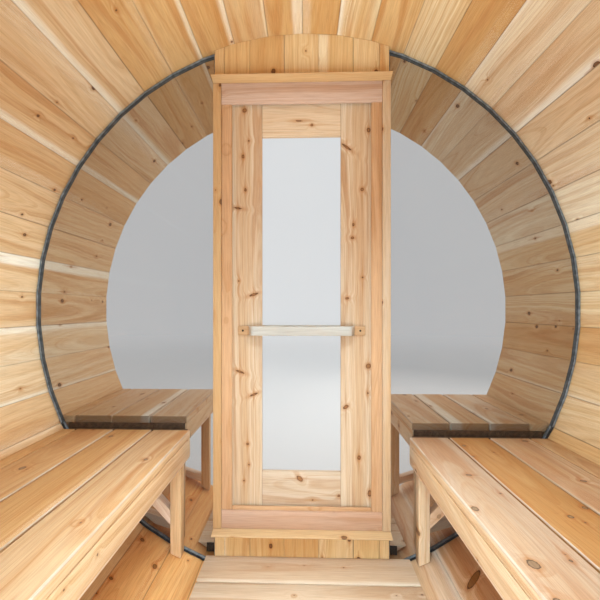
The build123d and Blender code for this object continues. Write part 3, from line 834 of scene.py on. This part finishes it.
# Hinges. Three black painted butt hinges lie on the outside face, each held by eight screws with
# domed heads. The leaves stay as they are.
hinge_black, hinge_tree, hinge_shader = new_material("hinge_black")
grit = noise(object_place(hinge_tree), 700.0, 3.0)
plug(hinge_shader, {"Base Color": tint(grit, look(30, 30, 31), look(52, 52, 54)), "Roughness": 0.45})
ripple(hinge_shader, grit, 0.3, 0.0003)
coat_node("frame_hinge_leaves", hinge_black)
coat_node("door_hinge_leaves", hinge_black)
hinge_x = doorway + 0.2865
head_middle = leaf_back - 0.0022
for body, side, near, far in (("sauna", 1, 0.014, 0.026), ("door", -1, 0.018, 0.042)):
    heads = []
    for hinge_level in (0.56, 0, -0.56):
        for height, step in ((-0.034, near), (-0.012, far), (0.012, near), (0.034, far)):
            bpy.ops.mesh.primitive_uv_sphere_add(
                segments=16, ring_count=8, radius=0.0042,
                location=(hinge_x + side * step, head_middle, axis_height + hinge_level + height))
            head = settle(bpy.context.object)
            open_mesh(head)
            bpy.ops.transform.resize(value=(1, 0.4, 1), center_override=(hinge_x, head_middle, 0))
            bpy.ops.mesh.bisect(plane_co=(0, leaf_back - 0.0018, 0), plane_no=(0, 1, 0), use_fill=True,
                                clear_outer=True)
            close_mesh()
            heads.append(head)
    dress(f"hinge_screws_{body}", heads, hinge_black, body=body)

# Floor. Planed cedar boards lie across the barrel on two bearers. Their ends are bevelled
# underneath to clear the staves, and their long edges are eased.
floor_top = axis_height - 0.925
floor_thickness = 0.038
floor_bottom = floor_top - floor_thickness
floor_gap = 0.004
floor_cedar = cedar("floor_cedar", (230, 204, 172), (222, 192, 158), (204, 166, 130), (238, 220, 192),
                    0.5, 0.8)
room_floor = (wall_inside + 0.0005, 1.1205)
porch_floor = (barrel_front, glass_face - 0.063)
for node, (start, end), count, half_floor, middle, end_bevel in (
    ("floor_boards_room", room_floor, 12, 0.381, -0.018, 0.043),
    ("floor_boards_porch", porch_floor, 3, 0.412, 0.005, 0.06),
):
    pitch = (end - start + floor_gap) / count
    bevels = [((middle + side * half_floor, 0, floor_top), (side * floor_thickness, 0, -end_bevel))
              for side in (1, -1)]
    boards = []
    for number in range(count):
        low = (middle - half_floor, start + number * pitch, floor_bottom)
        high = (middle + half_floor, start + (number + 1) * pitch - floor_gap, floor_top)
        boards.append(plank("floor_board", low, high, 0, 0.003, bevels))
    dress(node + "_set", boards, floor_cedar, node)
# A near black strip in the gap between the porch floor and the glazed wall is painted shade, where that gap
# lies in shadow
porch_floor_shade_block = start_block("porch_floor_strip", (-0.37, porch_floor[1] + 0.0005, floor_top - 0.036),
                        (0.38, porch_floor[1] + 0.0045, floor_top - 0.001))
dress("porch_floor_strip", [ease_edges(porch_floor_shade_block, 0.001)], channel_shadow)
bearers = [plank("bearer", (side * 0.15 - 0.019, start, axis_height - 1.012),
                 (side * 0.15 + 0.019, end, floor_bottom), 1)
           for start, end in (room_floor, (barrel_front + 0.007, wall_outside - 0.0005)) for side in (1, -1)]
dress("floor_bearer_timbers", bearers, wall_cedar, "floor_bearers")

# Benches. Four benches of cedar boards laid lengthways. The boards are screwed down on an apron
# and on cross cleats, and each cleat has a leg and a brace that stand on the staves.
seat_woods = ((219, 188, 153), (208, 160, 106), (192, 132, 74), (234, 213, 184))
# The seats' joints are darker and more even: painted shade in the gaps between their boards
seat_look = {"joint_and_shade_share": (0.5, 0.2), "knot_wood": (146, 116, 88)}
seat_cedar = cedar("seat_cedar", *seat_woods, **seat_look)
seat_cedars = {
    ("room_bench_right", 0): cedar(
        "seat_cedar_first", (202, 168, 136), (202, 162, 124), (196, 146, 102), (222, 196, 170), 0.3, 1.0,
        0.75, ((-0.547, -0.01, 0.0087, 0.8), (-0.142, 0.036, 0.0114, 1.3), (-0.155, -0.041, 0.0039, 1.2)),
        **seat_look),
    ("room_bench_right", 1): cedar(
        "seat_cedar_second", *seat_woods, 0.0, 1.0, 0.75,
        ((-0.32, 0.0, 0.0075, 1.0), (-0.696, 0.063, 0.0053, 1.0), (-0.798, 0.053, 0.0071, 1.2),
         (-0.363, -0.062, 0.0074, 1.0)), **seat_look),
    ("room_bench_right", 2): cedar(
        "seat_cedar_third", *seat_woods, 0.5, 1.0, 0.75,
        ((-0.855, -0.04, 0.0103, 0.8), (-0.516, -0.015, 0.0091, 0.8)), **seat_look),
}
porch_seat_cedar = cedar("porch_seat_cedar", (228, 206, 178), (220, 182, 136), (204, 150, 94),
                         (240, 228, 205), **seat_look)
# Pale cedar for the painted highlight on the eased seat edges towards the aisle
nose_highlight_cedar = cedar("nose_highlight_cedar", (216, 194, 170), (210, 182, 152), (200, 166, 130), (224, 204, 184),
                   0.5, 0.0, joint_and_shade_share=(0, 0))
# Very pale cedar for the painted highlight along the apron's lower edge
apron_highlight_cedar = cedar("apron_highlight_cedar", (250, 228, 206), (246, 220, 196), (240, 206, 176), (252, 236, 220),
                   0.3, 0.0)
brace_cedar = cedar("brace_cedar", (246, 224, 202), (240, 212, 186), (226, 190, 152), (250, 236, 220),
                    0.5, 0.4)
frame_cedar = cedar("frame_cedar", (240, 212, 174), (234, 195, 148), (216, 168, 112), (244, 224, 190),
                    0.8, 0.8)
# Dark brown for the painted shade in the gaps between the benches and the glass
bench_shade_brown = rubber("bench_shade_brown", (78, 56, 40))
seat_thickness = 0.03
seat_board = 0.142
seat_pitch = 0.148
apron_height = 0.072
leg_size = 0.04
brace_thickness = 0.038
bench_radius = room_radius - 0.003


def reach_at(level):
    """How far out the inside of the barrel is at a height above or below its axis."""
    return math.sqrt(bench_radius ** 2 - level ** 2)


def sided(side, x_start, x_end, y_start, y_end, low, high):
    """Two corners of a board on one side of the barrel, at heights from its axis."""
    return beside(side, x_start, x_end, y_start, y_end, axis_height + low, axis_height + high, 0)


def sloped_timber(side, corners, y_start, y_end):
    """A brace: a block round its corners, sawn along each side of its outline."""
    xs, zs = zip(*corners)
    brace = start_block("brace", *sided(side, min(xs) - 0.01, max(xs) + 0.01, y_start, y_end,
                                        min(zs) - 0.01, max(zs) + 0.01))
    middle = Vector((sum(xs) / len(xs), 0, sum(zs) / len(zs)))
    for (x1, z1), (x2, z2) in zip(corners, corners[1:] + corners[:1]):
        away = Vector((z2 - z1, 0, x1 - x2))
        if away.dot(Vector((x1, 0, z1)) - middle) < 0:
            away = -away
        saw_off(brace, (side * x1, 0, axis_height + z1), (side * away.x, 0, away.z))
    ease_edges(brace, 0.0015)
    run = Vector((side * (xs[1] - xs[0]), 0, zs[1] - zs[0])).normalized()
    mark_grain(brace, run, run.cross(Vector((0, 1, 0))), (side * middle.x, y_end, axis_height + middle.z))
    return brace


def porch_brace(brace_start, rise=0.32):
    """The corners of a brace that climbs from the leg until it meets the staves."""
    foot, top = -0.868, -0.834
    steepness = 1 + rise ** 2
    ends = []
    for level in (foot, top):
        level_at_axis = level - rise * brace_start
        x = (math.sqrt(steepness * bench_radius ** 2 - level_at_axis ** 2) - rise * level_at_axis) / steepness
        ends.append((x, level + rise * (x - brace_start)))
    return [(brace_start, foot), *ends, (brace_start, top)]


room_bench = (gasket_face + 0.007, 1.114)
porch_bench = (barrel_front + 0.007, gasket_back - 0.007)
# Each bench: its side, front edge, seat height from the axis, ends, legs, how far the legs stand
# in from the ends, and the tones of its boards
for name, side, front, seat_top, (start, end), supports, inset, tones in (
    ("room_bench_left", 1, 0.426, -0.458, room_bench, 3, 0.002, (0.3, 0.6, 0.4, 0.5)),
    ("room_bench_right", -1, 0.399, -0.477, room_bench, 3, 0.002, (0.05, 0.85, 0.1, 0.3)),
    ("porch_bench_left", 1, 0.448, -0.414, porch_bench, 2, 0.022, (0.3, 0.5, 0.4, 0.6)),
    ("porch_bench_right", -1, 0.416, -0.432, porch_bench, 2, 0.022, (0.3, 0.5, 0.2, 0.4)),
):
    in_room = name.startswith("room")
    seat_bottom = seat_top - seat_thickness
    seat_reach = reach_at(seat_bottom)
    bench_cedar = seat_cedar if in_room else porch_seat_cedar
    boards = []
    for number in range(3):
        board_start = front + number * seat_pitch
        corners = sided(side, board_start, board_start + seat_board, start, end, seat_bottom, seat_top)
        board = plank("seat_board", *corners, 1, 0.003 if number else 0.0045, tone=tones[number])
        # Painted shade darkens the sides of the narrow gaps between the boards, but not the front edge
        for vertex, half in zip(board.data.vertices, board.data.attributes["half"].data):
            if number or side * vertex.co.x > board_start + seat_board / 2:
                half.value = seat_board / 2 + 0.0024
        # The eased edges towards the aisle are painted paler than the seat, a painted highlight where they
        # catch the light
        coat(board, seat_cedars.get((name, number), bench_cedar), nose_highlight_cedar, frame_cedar)
        for face in board.data.polygons:
            if -side * face.normal.x > 0.2 and face.normal.z > 0.2:
                face.material_index = 1
            elif -side * face.normal.x > 0.2 and not number:
                face.material_index = 2
        boards.append(board)
    corners = sided(side, front + 3 * seat_pitch, seat_reach + 0.05, start, end, seat_bottom, seat_top)
    wall_board = fitted_plank("wall_board", *corners, 1, 0.003, bench_radius, tone=tones[3])
    coat(wall_board, bench_cedar)
    dress(name + "_seat", boards + [wall_board], None, name + "_boards")
    # A dark brown block of painted shade fills the gap between the bench and the glass, where that gap lies
    # in shadow
    if in_room:
        corners = sided(side, front + 0.012, seat_reach - 0.012, glass_face + 0.0005, start - 0.0005,
                        seat_bottom - 0.02, seat_top - 0.0003)
    else:
        corners = sided(side, front + 0.006, seat_reach - 0.016, end + 0.0005, gasket_back - 0.001,
                        seat_bottom - 0.07, seat_bottom + 0.004)
    dress(name + "_seal", [ease_edges(start_block("seal", *corners), 0.001)], bench_shade_brown)

    frame_top = seat_bottom - 0.0005
    frame_bottom = frame_top - apron_height
    leg_start = front + 0.023
    leg_end = leg_start + leg_size
    leg_top = frame_bottom - 0.0005
    brace_start = leg_end + 0.0005
    apron_front = front + 0.0006
    corners = sided(side, apron_front, front + 0.04, start, end, frame_bottom, frame_top)
    bevel = ((side * apron_front, 0, axis_height + frame_bottom + 0.007), (-side * 0.985, 0, -0.174))
    apron = plank("apron", *corners, 1, 0.001, [bevel], tone=0.05 if side < 0 else 0.3)
    # The bevelled lowest strip of the apron's face is painted pale, a painted highlight where it catches
    # light from below
    coat(apron, frame_cedar, apron_highlight_cedar)
    for face in apron.data.polygons:
        if -side * face.normal.x > 0.8 and -0.4 < face.normal.z < -0.1:
            face.material_index = 1
    timbers = [apron]
    for number in range(supports):
        support_end = end - inset - number * (end - start - 2 * inset - leg_size) / (supports - 1)
        corners = sided(side, leg_start, leg_end, support_end - leg_size, support_end,
                        -reach_at(leg_start) - 0.02, leg_top)
        leg = fitted_plank("leg", *corners, 2, radius=bench_radius, tone=0.1 if side < 0 else 0.5)
        brace_end = support_end - (leg_size - brace_thickness) / 2
        ends = (brace_end - brace_thickness, brace_end)
        corners = sided(side, front + 0.0405, reach_at(frame_bottom) + 0.08, *ends, frame_bottom, frame_top)
        cleat = fitted_plank("cleat", *corners, 0, radius=bench_radius)
        tip = brace_start + 0.223
        room_brace = [(brace_start, -0.797), (tip, leg_top), (tip - 0.052, leg_top), (brace_start, -0.745)]
        brace = sloped_timber(side, room_brace if in_room else porch_brace(brace_start), *ends)
        for timber, wood in ((leg, frame_cedar), (cleat, frame_cedar), (brace, brace_cedar)):
            coat(timber, wood)
            timbers.append(timber)
    dress(name + "_timbers", timbers, None, name + "_frame")

# Stage. A plain pale floor under soft studio light: daylight all round, a soft key over the
# porch, and soft lamps in the room behind the camera.
daylight = (0.96, 0.98, 1.0, 1)
cool = (0.575, 0.805, 1.0)


def in_sight(tree):
    """One for what is looked at, straight or by way of gloss and glass, and zero for other light."""
    rays = wire(tree, "LightPath", {}).outputs
    return greater(rays["Is Camera Ray"], greater(rays["Is Glossy Ray"], rays["Is Transmission Ray"]))


bpy.ops.mesh.primitive_plane_add(size=60, location=(0, 0, 0))
ground = bpy.context.object
ground.name = "studio_floor"
ground_paint, ground_tree, ground_shader = new_material("studio_floor")
ground_place = object_place(ground_tree)
plug(ground_shader, {"Base Color": tint(noise(ground_place, 0.6), look(206, 206, 205), look(212, 212, 211)),
                     "Roughness": 0.9})
# Far out, where no shadow falls, the floor shows the colour of the sky and no horizon is seen
far_off = times(in_sight(ground_tree), fade(on_vectors("LENGTH", ground_place), 5.0, 18.0))
far_glow = wire(ground_tree, "Emission", {"Color": daylight, "Strength": 0.77})
ground_blend = wire(ground_tree, "MixShader", {
    0: far_off, 1: ground_shader.outputs[0], 2: far_glow.outputs[0]})
plug(ground_tree.nodes["Material Output"], {"Surface": ground_blend.outputs[0]})
coat(ground, ground_paint)

bpy.context.scene.view_settings.view_transform = "Standard"
world = bpy.data.worlds.new("daylight")
bpy.context.scene.world = world
world.use_nodes = True
plug(world.node_tree.nodes["Background"], {"Color": daylight,
                                           "Strength": times_plus(in_sight(world.node_tree), -0.23, 1.0)})


def soft_lamp(name, place, aim, size, power, colour, spread=180):
    """A large soft lamp that doesn't show in reflections."""
    data = bpy.data.lights.new(name, "AREA")
    data.size = size
    data.energy = power
    data.spread = math.radians(spread)
    data.color = colour
    lamp = bpy.data.objects.new(name, data)
    lamp.location = place
    lamp.rotation_euler = (Vector(aim) - Vector(place)).to_track_quat("-Z", "Y").to_euler()
    lamp.visible_glossy = False
    lamp.visible_camera = False
    bpy.context.scene.collection.objects.link(lamp)


soft_lamp("room_lamp", (0, 1.00, 1.25), (0, -1, 1.0), 1.3, 8, cool)
soft_lamp("ceiling_lamp", (0, 0.42, 1.93), (0, -0.15, 0.2), 0.6, 10.5, cool, 75)
soft_lamp("aisle_lamp", (0, 1.05, 0.55), (0, -1, 0.45), 0.6, 15.5, (0.66, 0.85, 1.0))
soft_lamp("stave_lamp", (0, 0.3, 0.95), (0, -0.35, 2.15), 0.8, 3.7, (0.68, 0.87, 1.0), 70)
soft_lamp("left_lamp", (0, 0.1, 1.15), (1.03, -0.62, 1.1), 0.6, 2.5, cool, 70)
soft_lamp("right_lamp", (0, 0.1, 1.15), (-1.03, -0.62, 1.1), 0.6, 2.6, cool, 70)
soft_lamp("porch_key", (-2.6, -4.2, 3.6), (0.3, -0.6, 1.0), 3.0, 110, (1.0, 0.96, 0.9))
soft_lamp("rear_key", (-3.0, 5.0, 4.0), (0, 0.4, 1.0), 3.0, 60, (1, 0.98, 0.94))
